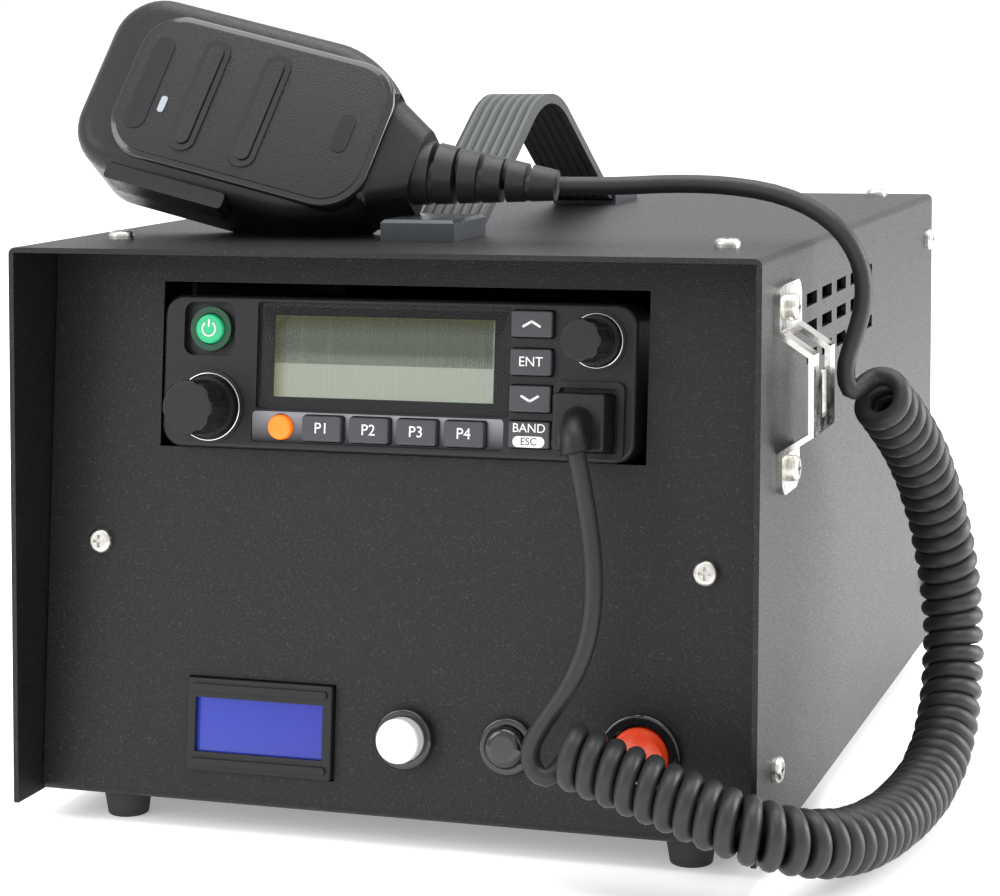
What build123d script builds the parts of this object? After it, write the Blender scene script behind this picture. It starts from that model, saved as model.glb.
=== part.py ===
"""Base station radio in a folded steel case: a mobile transceiver, a power supply, a panel meter
and a hand microphone. X runs to the right, Y to the back and Z up. The origin is on the surface
that the feet stand on, midway between the case's sides and its front and back edges. Millimetres."""

import os
from math import cos, pi, radians, sin, tan

from build123d import *

# Case: an inverted U of sheet steel over a folded chassis.
case_width = 215.0
case_depth = 270.7
case_height = 157.4
sheet = 1.5
foot_height = 8.0
fit_gap = 0.4  # between the cover and the chassis, all round
edge_rake = 7.7  # how far the cover's side edges lean out towards their bottom
panel_lean = 7.29  # degrees, the front panel leans back
panel_setback = 6.1  # the front panel's foot, behind the cover's top front edge
back_setback = 3.0
bend = 2.4  # outer radius of the chassis's folds
top_flange = 20.0
side_flange = 30.0

case_front = -case_depth / 2
case_back = case_depth / 2
case_top = foot_height + case_height
inner_half = case_width / 2 - sheet
chassis_half = inner_half - fit_gap
chassis_top = case_top - sheet - fit_gap
panel_foot = case_front + panel_setback
PANEL = Plane(
    origin=(0, panel_foot, foot_height),
    x_dir=(1, 0, 0),
    z_dir=(0, -cos(radians(panel_lean)), sin(radians(panel_lean))),
)

# Screws with a pan head, and the holes that they pass through.
screw_r = 2.0
screw_clear = 0.25
screw_hole_r = screw_r + screw_clear
head_r = 3.6
head_height = 2.3
screw_length = 7.0
screw_inset = 11.35  # of the screws along the case's back edge
top_screw_x = case_width / 2 - 17.5
top_screw_front = case_front + 35.35
top_screw_back = case_back - screw_inset
side_screw_low = (case_front + 14.35, foot_height + 20.4)  # Y and Z
side_screw_high = (case_back - screw_inset, case_top - 15.0)
side_screw_back = (case_back - screw_inset, foot_height + 20.4)
panel_screw_x = case_width / 2 - 18.5
panel_screw_v = 72.7  # v is measured up the leaning panel from its foot

# Vents in the right side: columns of slots in rows.
vent_length = 14.0
vent_width = 3.6
vent_first = case_front + 62.35
vent_step = 21.3
vent_columns = 5
vent_row_z = (case_top - 16.2, case_top - 24.1, case_top - 32.1)

# Feet.
foot_r_top = 7.0
foot_r_floor = 5.8
foot_x = case_width / 2 - 23.5
foot_y = case_depth / 2 - 17.35

# Radio, in the panel's own frame: u to the right, v up the slope, w out of the panel.
radio_cut = (143.0, 46.8)
radio_v = 124.0  # middle of the cut-out
face_size = (138.6, 42.8)
face_v = 122.3
face_corner = 6.0
face_proud = 4.0
face_depth = 14.0
radio_body_size = (132.0, 36.0, 165.0)
window_size = (74.2, 29.8)
window_uv = (-3.5, 127.1)
window_thick = 1.2
lcd_size = (64.6, 22.6)
lcd_thick = 1.6
key_clear = 0.3
key_proud = 2.0
key_travel = 0.7
key_rear = 1.6  # w of the keys' rear faces at rest
side_key_size = (11.8, 7.2)
side_key_u = 40.2
side_key_v = {"key_up": 137.7, "key_enter": 127.4, "key_down": 117.5, "key_band": 107.8}
p_key_size = (11.6, 7.1)
p_key_u = (-20.0, -6.1, 7.8, 21.6)
p_key_v = 107.3
strip_span = (-41.8, 32.2)
strip_height = 8.6
strip_thick = 0.8
strip_sunk = 0.4
lamp_u = -33.0
lamp_r = 3.5
power_uv = (-55.3, 134.2)
power_r = 4.2
power_ring_r = 6.2
power_pocket = (15.6, 15.0)
power_pocket_depth = 2.4
knobs = {
    "knob_volume": {"uv": (-54.9, 112.3), "r": 7.6, "length": 14.0, "ring": 9.6},
    "knob_channel": {"uv": (58.0, 133.6), "r": 5.8, "length": 15.0, "ring": 7.4},
}
knob_gap = 0.8
knob_flutes = 8
bush_r = 3.6
bush_proud = 6.0
stem_r = 3.0
stem_clear = 0.05
jack_uv = (56.6, 112.2)
jack_frame = (19.8, 20.6)
jack_rim = 1.6
jack_proud = 1.6
jack_size = (15.0, 13.0)
jack_depth = 16.0
plug_uv = (56.2, 111.9)
plug_size = (14.6, 15.6)
plug_front = 14.0  # w of the plug's outer face
plug_nose = (11.5, 8.0, 9.0)
boot_r = 4.2
boot_bend = 8.0
boot_turn = 14.0  # degrees, the cord leaves downwards and to the right

# Cord: routes chosen by hand, from the plug to the coil, along the coil, and on to the handset.
cord_d = 5.2
coil_d = 18.0
FRONT_ROUTE = [
    (58.2, -137.0, 113.8),
    (61.7, -139.0, 99.6),
    (64.6, -142.4, 82.5),
    (64.4, -146.4, 67.5),
    (60.0, -149.6, 55.0),
    (53.4, -151.2, 45.6),
    (49.2, -151.9, 38.6),
    (49.8, -152.3, 32.4),
    (54.7, -152.9, 29.6),
]
COIL_ROUTE = [
    (58.5, -153.6, 38.2),
    (70.0, -154.4, 34.6),
    (83.0, -155.2, 30.4),
    (96.0, -155.8, 26.0),
    (109.5, -156.2, 21.8),
    (122.0, -149.0, 17.4),
    (130.0, -132.5, 13.8),
    (134.4, -111.0, 11.6),
    (137.6, -88.0, 11.2),
    (140.0, -65.0, 13.0),
    (141.6, -46.0, 21.0),
    (141.6, -33.5, 37.0),
    (140.4, -28.0, 56.0),
    (137.6, -32.0, 78.0),
    (134.2, -43.5, 98.0),
    (130.4, -58.5, 112.5),
    (126.0, -74.0, 123.2),
]
MIC_ROUTE = [
    (118.8, -75.9, 122.6),
    (116.9, -75.5, 130.0),
    (119.6, -71.5, 139.5),
    (121.8, -69.0, 150.0),
    (119.8, -68.3, 161.0),
    (112.0, -68.0, 171.0),
    (98.5, -65.5, 177.4),
    (81.5, -64.2, 180.0),
    (65.0, -66.5, 180.4),
    (49.8, -69.9, 179.6),
    (34.7, -72.0, 179.8),
]

# Panel meter, buttons and rocker switch along the panel's foot.
meter_uv = (-38.0, 22.7)
meter_cut = (44.6, 26.8)
meter_bezel = (44.0, 26.2)
meter_screen = (38.6, 15.4)
meter_depth = 18.0
meter_glass = 1.6
button_v = 22.9
white_u = 5.4
white = {"flange": 8.4, "cap": 6.2, "flange_h": 3.2, "cap_h": 5.0, "hole": 7.3}
black_u = 35.0
black = {"flange": 7.9, "cap": 5.8, "flange_h": 2.4, "cap_h": 3.2, "hole": 6.8}
button_travel = 2.0
button_depth = 22.0
nut_size = 9.0
nut_thick = 2.6
rocker_u = 72.2
rocker_v = 22.7
rocker_flange_r = 11.6
rocker_hole_r = 10.0
rocker_flange_h = 2.2
rocker_r = 8.2
rocker_tilt = 9.0
rocker_depth = 20.0

# Strap handle along the top.
handle_span = case_depth / 2 - 66.35  # inner ends of the end caps
strap_width = 19.6
cap_length = 27.5
cap_width = strap_width + 2.4
cap_height = 6.0
strap_thick = 3.0
strap_rise = 40.4
strap_sink = 3.0
strap_gap = 0.35
strap_knee_r = 12.0
strap_crown_r = 36.0

# Handset, in its own frame: a towards its cord, b across it, c out of its face.
mic_origin = (-strap_width / 2 - 59.9, case_front + 47.55, case_top + 42.4)
mic_slope = 13.9
mic_lean = 27.7
mic_head = -36.0
mic_shoulder = 44.0
mic_neck = 66.0
mic_half = 28.6
mic_top_half = 28.2
mic_neck_half = 10.4
mic_neck_b = -1.5
mic_split = -16.0
mic_back = -33.0
mic_wall = 2.4
mic_corner = 16.0
mic_face = {"a": (-24.6, 57.0), "b": (-24.4, 22.4), "c": -1.6, "r": 11.0}
relief_end = (107.0, 5.3)
relief_r = (9.6, 4.4)
mic_axis_c = -15.0
ptt_span = (-20.0, 18.0)
ptt_c = (-13.4, -4.6)
ptt_proud = 3.2
ptt_travel = 1.5

# Handset hanger on the right side.
hanger_thick = 1.5
hanger_y = case_front + 26.35 + sheet  # its screws pass behind the front panel
hanger_wide = 28.0
hanger_narrow = 22.0
hanger_out = 9.0
hanger_z = (101.0, 112.5, 118.5, 138.5, 144.5, 157.0)
hanger_screw_z = (107.2, 150.4)
hanger_slot = 6.0
hanger_mouth = 15.0

# Back panel and inside.
back_plane_y = case_back - back_setback
socket_xz = (62.0, 112.0)
socket_r = 7.95
socket_length = 12.0
socket_flange = 25.4
inlet_xz = (-58.0, 52.0)
inlet_size = (27.6, 20.0)
inlet_reach = 23.0  # inwards from the back panel's outer face
supply_size = (99.0, 160.0, 42.0)
supply_gap = 11.35  # from the inlet to the supply's back end
supply_y = back_plane_y - inlet_reach - supply_gap - supply_size[1] / 2


def block(x, y, z):
    """A box between pairs of limits."""
    low, high = zip(x, y, z)
    middle = [(a + b) / 2 for a, b in zip(low, high)]
    size = [b - a for a, b in zip(low, high)]
    return Pos(*middle) * Box(*size)


def pad(centre, size, low, high, corner=0.0):
    """A plate on a centre in the first two axes, between two heights, with rounded corners."""
    outline = Rectangle(*size) if corner == 0 else RectangleRounded(*size, corner)
    return Pos(centre[0], centre[1], low) * extrude(outline, high - low)


def disc(centre, r, low, high):
    return Pos(centre[0], centre[1], low) * extrude(Circle(r), high - low)


def across(points):
    """A solid across the case's width from an outline in Y and Z."""
    return extrude(Plane.YZ * make_face(Polyline(*points, close=True)), inner_half * 2, both=True)


def slice_x(shape, low, high):
    return shape & block((low, high), (-400, 400), (-50, 400))


def on_side(y, z, r, side):
    """A drill through one side wall."""
    return Pos(side * case_width / 2, y, z) * Rot(0, 90, 0) * Cylinder(r, 60)


def drill_top(x, y, r):
    return Pos(x, y, case_top) * Cylinder(r, 20)


def side_screw_places():
    return (side_screw_low, side_screw_high, side_screw_back)


def make_cover():
    outline = [
        (case_front - edge_rake, foot_height),
        (case_back, foot_height),
        (case_back, case_top),
        (case_front, case_top),
    ]
    shell = slice_x(across(outline), -case_width / 2, case_width / 2)
    edges = shell.edges().filter_by(Axis.Y).group_by(Axis.Z)[-1]
    shell = fillet(edges, sheet + 0.5)
    room = block((-inner_half, inner_half), (-400, 400), (-50, case_top - sheet))
    shell -= room
    for x in (-top_screw_x, top_screw_x):
        for y in (top_screw_front, top_screw_back):
            shell -= drill_top(x, y, screw_hole_r)
    for y in (-handle_screw_y(), handle_screw_y()):
        shell -= drill_top(0, y, screw_hole_r)
    for side in (-1, 1):
        for y, z in side_screw_places():
            shell -= on_side(y, z, screw_hole_r, side)
    for row in vent_row_z:
        for column in range(vent_columns):
            y = vent_first + column * vent_step
            shell -= Pos(case_width / 2, y, row) * Box(10, vent_length, vent_width)
    for z in hanger_screw_z:
        shell -= on_side(hanger_y, z, screw_hole_r, 1)
    return shell


def handle_screw_y():
    return handle_span + cap_length / 2


def panel_top_y():
    return panel_foot + (chassis_top - foot_height) * tan(radians(panel_lean))


def chassis_outline(inset):
    """The folded front, bottom and back as a closed outline, set in by the sheet or not."""
    low, high = foot_height + inset, chassis_top - inset
    lean = tan(radians(panel_lean))
    side = inset / cos(radians(panel_lean))
    front_low = panel_foot + side + inset * lean
    front_high = panel_foot + side + (high - foot_height) * lean
    back = back_plane_y - inset
    points = [(front_low, low), (back, low), (back, high), (front_high, high)]
    return Polyline(*points, close=True)


def make_chassis():
    outer = make_face(chassis_outline(0))
    outer = fillet(outer.vertices(), bend)
    inner = make_face(chassis_outline(sheet))
    inner = fillet(inner.vertices(), bend - sheet)
    fold = extrude(Plane.YZ * (outer - inner), chassis_half, both=True)
    gap = (panel_top_y() + top_flange, back_plane_y - top_flange)
    fold -= block((-400, 400), gap, (case_top - 20, case_top + 20))
    for side in (-1, 1):
        wall_x = sorted((side * chassis_half, side * (chassis_half - sheet)))
        back = back_plane_y - sheet / 2
        fold += block(wall_x, (panel_foot + 6, back), (foot_height, foot_height + side_flange))
        fold += block(wall_x, (back_plane_y - top_flange, back), (foot_height, case_top - 8))
    for x in (-top_screw_x, top_screw_x):
        for y in (top_screw_front, top_screw_back):
            fold -= drill_top(x, y, screw_r)
        for y in (-foot_y, foot_y):
            fold -= Pos(x * foot_x / top_screw_x, y, foot_height) * Cylinder(screw_r, 10)
    for side in (-1, 1):
        for y, z in side_screw_places():
            fold -= on_side(y, z, screw_r, side)
        fold -= PANEL * disc((side * panel_screw_x, panel_screw_v), screw_hole_r, -9, 9)
    fold -= PANEL * pad((0, radio_v), radio_cut, -6, 6)
    fold -= PANEL * pad(meter_uv, meter_cut, -6, 6)
    fold -= PANEL * disc((white_u, button_v), white["hole"] + 0.1, -6, 6)
    fold -= PANEL * disc((black_u, button_v), black["hole"] + 0.1, -6, 6)
    fold -= PANEL * disc((rocker_u, rocker_v), rocker_hole_r + 0.1, -6, 6)
    fold -= Pos(socket_xz[0], back_plane_y, socket_xz[1]) * Rot(90, 0, 0) * Cylinder(socket_r + 0.4, 10)
    inlet_hole = (inlet_size[0] + 0.4, 20, inlet_size[1] + 0.4)
    fold -= Pos(inlet_xz[0], back_plane_y, inlet_xz[1]) * Box(*inlet_hole)
    return fold


def pan_screw(length=screw_length):
    """A pan-head screw with a cross recess, head down on Z = 0 and shank below it."""
    head = extrude(Circle(head_r), head_height)
    head = fillet(head.edges().group_by(Axis.Z)[-1], head_height * 0.6)
    for turn in (0, 90):
        head -= Pos(0, 0, head_height) * Rot(0, 0, turn) * Box(0.9, 3.6, 2.2)
    return head + Pos(0, 0, -length) * extrude(Circle(screw_r), length)


def make_case_screws():
    screws = []
    for x in (-top_screw_x, top_screw_x):
        for y in (top_screw_front, top_screw_back):
            screws.append(Pos(x, y, case_top) * pan_screw())
        screws.append(PANEL * Pos(x * panel_screw_x / top_screw_x, panel_screw_v, 0) * pan_screw())
    for side in (-1, 1):
        for y, z in side_screw_places():
            screws.append(Pos(side * case_width / 2, y, z) * Rot(0, side * 90, 0) * pan_screw())
    return Compound(children=screws)


def make_foot(x, y):
    cone = loft([Circle(foot_r_floor), Pos(0, 0, foot_height) * Circle(foot_r_top)])
    cone = fillet(cone.edges().group_by(Axis.Z)[0], 0.8)
    cone -= extrude(Circle(head_r + 0.4), foot_height * 0.55)
    cone -= extrude(Circle(screw_hole_r), foot_height)
    return Pos(x, y, 0) * cone


def make_foot_screws():
    screws = []
    for x in (-foot_x, foot_x):
        for y in (-foot_y, foot_y):
            screws.append(Pos(x, y, foot_height * 0.55) * Rot(180, 0, 0) * pan_screw(8))
    return Compound(children=screws)


def make_hanger():
    """A strip folded out from the side wall and back, with a slot open at its upper fold."""
    wall = case_width / 2
    z = hanger_z
    t = hanger_thick
    out = wall + hanger_out
    line = [(wall, z[0]), (wall, z[1]), (out, z[2]), (out, z[3]), (wall, z[4]), (wall, z[5])]
    skin = [(out + t, z[3] + 0.8), (wall + t, z[4] + 0.8), (wall + t, z[5])]
    face = [(wall + t, z[0]), (wall + t, z[1] - 0.8), (out + t, z[2] - 0.8)]
    outline = line + list(reversed(skin)) + list(reversed(face))
    strip = extrude(Plane.XZ * make_face(Polyline(*outline, close=True)), hanger_wide / 2, both=True)
    strip = Pos(0, hanger_y, 0) * strip
    tab_cut = (hanger_wide - hanger_narrow) / 2
    for side in (-1, 1):
        edge = hanger_y + side * hanger_wide / 2
        y = sorted((edge, edge - side * tab_cut))
        strip -= block((wall - 1, out + 5), y, (z[0] - 1, z[2] - 0.9))
    slot = block((wall + t + 0.5, out + 5), (-hanger_slot / 2, hanger_slot / 2), (z[2] + 3, z[3] + 1))
    mouth = block((wall + t + 0.5, out + 5), (-hanger_mouth / 2, hanger_mouth / 2), (z[3] - 5, z[4] + 0.4))
    strip -= Pos(0, hanger_y, 0) * (slot + mouth)
    corners = strip.edges().filter_by(Axis.X).group_by(Axis.Z)
    strip = fillet(list(corners[0]) + list(corners[-1]), 5.0)
    for height in hanger_screw_z:
        strip -= on_side(hanger_y, height, screw_hole_r, 1)
    return strip


def make_hanger_screws():
    place = [Pos(case_width / 2 + hanger_thick, hanger_y, z) * Rot(0, 90, 0) for z in hanger_screw_z]
    return Compound(children=[spot * pan_screw() for spot in place])


def strap_mid_z():
    return case_top + strap_sink


def make_strap():
    end = handle_span + cap_length - 5
    low = strap_mid_z()
    path = FilletPolyline(
        (0, -end, low),
        (0, -handle_span + 2, low),
        (0, 0, low + strap_rise),
        (0, handle_span - 2, low),
        (0, end, low),
        radius=[strap_knee_r, strap_crown_r, strap_knee_r],
    )
    section = Plane(origin=path @ 0, x_dir=(1, 0, 0), z_dir=path % 0) * Rectangle(strap_width, strap_thick)
    return sweep(section, path=path)


def make_cap(side):
    y = sorted((side * handle_span, side * (handle_span + cap_length)))
    cap = block((-cap_width / 2, cap_width / 2), y, (case_top, case_top + cap_height))
    cap = chamfer(cap.edges().group_by(Axis.Z)[-1], 0.9)
    half = strap_width / 2 + strap_gap
    tall = strap_thick / 2 + strap_gap
    low = strap_mid_z() - tall
    end = side * (handle_span + cap_length - 5 + 2 * strap_gap)
    slot_y = sorted((side * (handle_span - 1), end))
    cap -= block((-half, half), slot_y, (low, low + 2 * tall))
    cap -= Pos(0, side * handle_screw_y(), case_top) * Cylinder(screw_r, 2 * cap_height - 6)
    return cap


def handle_screw():
    """A countersunk screw from inside the cover, up into the end cap."""
    return extrude(Circle(screw_r), sheet + 1.0) + Pos(0, 0, -1.6) * extrude(Circle(head_r), 1.6)


def make_handle_screws():
    z = case_top - sheet
    return Compound(children=[Pos(0, side * handle_screw_y(), z) * handle_screw() for side in (-1, 1)])


def key_places():
    places = {name: ((side_key_u, v), side_key_size) for name, v in side_key_v.items()}
    for number, u in enumerate(p_key_u, 1):
        places[f"key_p{number}"] = ((u, p_key_v), p_key_size)
    return places


def widen(size, gap):
    return (size[0] + 2 * gap, size[1] + 2 * gap)


def key_floor():
    return key_rear - key_travel - key_clear


def make_radio_face():
    low = face_proud - face_depth
    face = pad((0, face_v), face_size, low, face_proud, face_corner)
    face = fillet(face.edges().group_by(Axis.Z)[-1], 1.2)
    for name, knob in knobs.items():
        face += disc(knob["uv"], knob["ring"] + 0.9, face_proud - 1, face_proud + 0.5)
        face -= disc(knob["uv"], knob["ring"], face_proud - 0.3, face_proud + 2)
        face -= disc(knob["uv"], bush_r + 0.05, low - 1, face_proud + 2)
    glass_low = face_proud - window_thick
    face -= pad(window_uv, widen(window_size, 0.1), glass_low, face_proud + 1, 1.0)
    face -= pad(window_uv, widen(lcd_size, 0.1), glass_low - lcd_thick, face_proud)
    for centre, size in key_places().values():
        face -= pad(centre, widen(size, key_clear), key_floor(), face_proud + 1, 0.9)
    middle = (sum(strip_span) / 2, p_key_v)
    strip = (strip_span[1] - strip_span[0], strip_height)
    strip_low = face_proud - strip_sunk - strip_thick
    face -= pad(middle, widen(strip, 0.1), strip_low, face_proud + 1, 1.2)
    face -= disc((lamp_u, p_key_v), lamp_r + key_clear, key_floor(), face_proud + 1)
    floor = face_proud - power_pocket_depth
    face -= pad(power_uv, power_pocket, floor, face_proud + 1, 3.0)
    face -= disc(power_uv, power_ring_r + 0.05, floor - 1.6, face_proud)
    face += pad(jack_uv, jack_frame, face_proud - 1, face_proud + jack_proud, 2.0)
    face -= pad(jack_uv, widen(jack_frame, -jack_rim), face_proud - 0.7, face_proud + 3, 1.0)
    face -= pad(jack_uv, widen(jack_size, 0.1), low - 1, face_proud + 3)
    return PANEL * face


def make_radio_body():
    """A cast body with cooling ribs along its top."""
    low = face_proud - face_depth
    width, height, depth = radio_body_size
    body = pad((0, face_v), (width, height), low - depth, low, 2.0)
    ribs = 17
    pitch = (width - 12) / ribs
    for number in range(ribs):
        u = -width / 2 + 6 + pitch * (number + 0.5)
        groove = block((u - 2, u + 2), (face_v + height / 2 - 7, 400), (low - depth - 1, low - 6))
        body -= groove
    for knob in knobs.values():
        body -= disc(knob["uv"], 6.2, low - 12, low + 1)
    body -= pad(jack_uv, widen(jack_size, 0.3), low - 12, low + 1)
    return PANEL * body


def make_window():
    low = face_proud - window_thick
    return PANEL * pad(window_uv, window_size, low, face_proud, 0.9)


def make_lcd():
    high = face_proud - window_thick
    return PANEL * pad(window_uv, lcd_size, high - lcd_thick, high)


def make_key_strip():
    middle = (sum(strip_span) / 2, p_key_v)
    low = face_proud - strip_sunk - strip_thick
    strip = pad(middle, (strip_span[1] - strip_span[0], strip_height), low, low + strip_thick, 1.1)
    for u in p_key_u:
        strip -= pad((u, p_key_v), widen(p_key_size, key_clear), low - 1, face_proud + 1, 0.9)
    strip -= disc((lamp_u, p_key_v), lamp_r + key_clear, low - 1, face_proud + 1)
    return PANEL * strip


def make_key(centre, size):
    key = pad(centre, size, key_rear, face_proud + key_proud, 0.8)
    key = fillet(key.edges().group_by(Axis.Z)[-1], 0.5)
    return PANEL * key


def make_lamp_button():
    lamp = disc((lamp_u, p_key_v), lamp_r, key_rear, face_proud + 1.4)
    return PANEL * fillet(lamp.edges().group_by(Axis.Z)[-1], 1.0)


def make_power_ring():
    floor = face_proud - power_pocket_depth - 1.6
    ring = disc(power_uv, power_ring_r, floor, face_proud - 0.6)
    return PANEL * (ring - disc(power_uv, power_r + key_clear, floor + 0.4, face_proud))


def make_power_button():
    floor = face_proud - power_pocket_depth - 1.6
    button = disc(power_uv, power_r, floor + 0.4 + key_travel + key_clear, face_proud + 0.6)
    return PANEL * fillet(button.edges().group_by(Axis.Z)[-1], 0.8)


def make_knob(knob):
    """A fluted knob with a flared foot, hollow over its bush, and the stem that turns in it."""
    low = face_proud + knob_gap
    high = low + knob["length"]
    u, v = knob["uv"]
    body = disc((0, 0), knob["r"], low, high)
    body = fillet(body.edges().group_by(Axis.Z)[-1], 0.8)
    for number in range(knob_flutes):
        flute = Pos(knob["r"] + 2.7, 0, low + 3.4) * extrude(Circle(3.3), knob["length"])
        body -= Rot(0, 0, 360 / knob_flutes * (number + 0.5)) * flute
    body += disc((0, 0), knob["r"] + 0.9, low, low + 2.2)
    hollow_top = face_proud + bush_proud + 0.6
    body -= disc((0, 0), bush_r + 0.5, low - 1, hollow_top)
    body += disc((0, 0), stem_r, face_proud - 8, hollow_top + 1)
    return PANEL * (Pos(u, v, 0) * body)


def make_encoders():
    """The bush and housing that each knob's stem turns in."""
    solids = []
    low = face_proud - face_depth
    for knob in knobs.values():
        unit = disc((0, 0), bush_r, low, face_proud + bush_proud) + disc((0, 0), 6.0, low - 8, low)
        unit -= disc((0, 0), stem_r + stem_clear, face_proud - 8.5, face_proud + bush_proud + 1)
        solids.append(PANEL * (Pos(*knob["uv"], 0) * unit))
    return Compound(children=solids)


def make_jack():
    high = face_proud - 0.8
    jack = pad(jack_uv, jack_size, high - jack_depth, high)
    hole = widen(plug_nose[:2], 0.2)
    jack -= pad(plug_uv, hole, high - plug_nose[2] - 1.5, high + 1)
    return PANEL * jack


def make_plug():
    """A moulded plug whose hooded boot turns the cord down."""
    low = face_proud - 0.6
    body = pad(plug_uv, plug_size, low, plug_front, 1.2)
    body = fillet(body.edges().group_by(Axis.Z)[-1], 1.0)
    body += pad(plug_uv, plug_nose[:2], low - plug_nose[2], low + 1)
    u, v = plug_uv
    centre_w = plug_front - 1
    path = FilletPolyline(
        (0, 0, -3), (0, 0, boot_bend), (0, -boot_bend - 0.01, boot_bend), radius=[boot_bend - 0.01]
    )
    boot = sweep(Plane(origin=(0, 0, -3), z_dir=(0, 0, 1)) * Circle(boot_r), path=path)
    return PANEL * (body + Pos(u, v, centre_w) * Rot(0, 0, boot_turn) * boot)


def make_cradle():
    """A shelf under the radio, hung from the front panel by the two panel screws."""
    back = -150.0
    low = face_v - face_size[1] / 2 - 2.0
    half = panel_screw_x + 6
    shelf = block((-half, half), (low - sheet, low), (back, -sheet - 0.1))
    for side in (-1, 1):
        lug_u = sorted((side * (panel_screw_x - 11), side * (panel_screw_x + 9)))
        lug = block(lug_u, (panel_screw_v - 9, low), (-sheet - 0.1 - 2.0, -sheet - 0.1))
        shelf += lug - disc((side * panel_screw_x, panel_screw_v), screw_r, -9, 1)
    for side in (-1, 1):
        wall_u = sorted((side * 68.0, side * 69.5))
        shelf += block(wall_u, (low - sheet, radio_v + radio_cut[1] / 2), (back, -face_depth))
    return PANEL * shelf


def make_meter_bezel():
    bezel = pad(meter_uv, meter_bezel, -6, 2.2, 0.8)
    bezel = fillet(bezel.edges().group_by(Axis.Z)[-1], 0.6)
    u, v = meter_uv
    for side in (-1, 1):
        rib = pad((u, v + side * (meter_bezel[1] / 2 - 2.6)), (meter_bezel[0] - 3, 2.0), 2.0, 3.0, 0.9)
        bezel += rib
    bezel -= pad(meter_uv, meter_screen, -7, 4)
    return PANEL * bezel


def make_meter_glass():
    return PANEL * pad(meter_uv, widen(meter_screen, -0.05), -meter_glass, 0.4)


def make_meter_body():
    return PANEL * pad(meter_uv, meter_bezel, -6 - meter_depth, -6, 1.0)


def make_button_housing(u, spec):
    """A threaded body with a flange, and a well that the cap slides in."""
    centre = (u, button_v)
    body = disc(centre, spec["flange"], 0, spec["flange_h"])
    body = fillet(body.edges().group_by(Axis.Z)[-1], 0.9)
    body += disc(centre, spec["hole"], -button_depth, 0.5)
    body -= disc(centre, spec["cap"] - 0.7, -8, spec["flange_h"] + 1)
    well = spec["flange_h"] - 0.6 - button_travel - 0.5
    body -= disc(centre, spec["cap"] + key_clear, well, spec["flange_h"] + 1)
    return PANEL * body


def make_button_cap(u, spec, dome):
    centre = (u, button_v)
    low = spec["flange_h"] - 0.6 - 0.3
    cap = disc(centre, spec["cap"], low, spec["flange_h"] + spec["cap_h"])
    cap = fillet(cap.edges().group_by(Axis.Z)[-1], dome)
    cap += disc(centre, spec["cap"] - 1.2, -5, low + 0.5)
    return PANEL * cap


def make_button_nuts():
    nuts = []
    for u, spec in ((white_u, white), (black_u, black)):
        hexagon = RegularPolygon(nut_size, 6, major_radius=False)
        nut = Pos(u, button_v, -sheet - nut_thick) * extrude(hexagon, nut_thick)
        nuts.append(PANEL * (nut - disc((u, button_v), spec["hole"], -9, 1)))
    return Compound(children=nuts)


def make_rocker_body():
    centre = (rocker_u, rocker_v)
    body = disc(centre, rocker_flange_r, 0, rocker_flange_h)
    body = fillet(body.edges().group_by(Axis.Z)[-1], 1.0)
    body += disc(centre, rocker_hole_r, -rocker_depth, 0.5)
    body -= disc(centre, rocker_r + 0.5, -7.5, rocker_flange_h + 1)
    return PANEL * body


def make_rocker():
    """A round rocker with two facets that rocks about an axis across its middle."""
    slab = Cylinder(rocker_r, 8)
    ridge = rocker_flange_h + 1.4
    for side in (-1, 1):
        facet = Pos(0, 0, 10 + ridge) * Box(40, 40, 20)
        facet = Rot(side * rocker_tilt, 0, 0) * facet
        slab -= facet & block((-30, 30), sorted((0, side * 30)), (-30, 60))
    under = Pos(0, 0, -3.4) * Box(40, 40, 6)
    slab -= Pos(0, 0, -2.0) * under
    slab &= Sphere(rocker_r + 0.05)
    return PANEL * (Pos(rocker_u, rocker_v, 0) * Rot(rocker_tilt, 0, 0) * slab)


def mic_plane():
    slope, lean = radians(mic_slope), radians(mic_lean)
    along = Vector(cos(slope), 0, -sin(slope))
    up = Vector(sin(slope) * cos(lean), sin(lean), cos(slope) * cos(lean))
    return Plane(origin=mic_origin, x_dir=along, z_dir=along.cross(up))


def mic_outline(shrink=0.0):
    """Head with round corners, narrowing to the neck, as a face in a and b."""
    neck = mic_neck_half - shrink * 0.5
    points = [
        (mic_head + shrink, -mic_half + shrink),
        (mic_shoulder - shrink * 0.6, -mic_half + shrink),
        (mic_neck, mic_neck_b - neck),
        (mic_neck, mic_neck_b + neck),
        (mic_shoulder - shrink * 0.6, mic_top_half - shrink),
        (mic_head + shrink, mic_top_half - shrink),
    ]
    outline = make_face(Polyline(*points, close=True))
    corners = [c for c in outline.vertices() if c.X < mic_neck - 1]
    return fillet(corners, mic_corner - shrink * 0.4)


def mic_slope_off(wide_at, narrow_at, shrink):
    """The sloped shoulder between the full outline and a smaller one."""
    return loft([Pos(0, 0, wide_at) * mic_outline(), Pos(0, 0, narrow_at) * mic_outline(shrink)])


def mic_hollow(low, high, shrink):
    return Pos(0, 0, low) * extrude(mic_outline(shrink), high - low) & block(
        (-100, mic_shoulder + 4), (-60, 60), (-60, 20)
    )


def ptt_pocket(gap):
    a = (ptt_span[0] - gap, ptt_span[1] + gap)
    return block(a, (-mic_half - 8, -mic_half + 3.2 + gap), (ptt_c[0] - gap, ptt_c[1] + gap))


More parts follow.
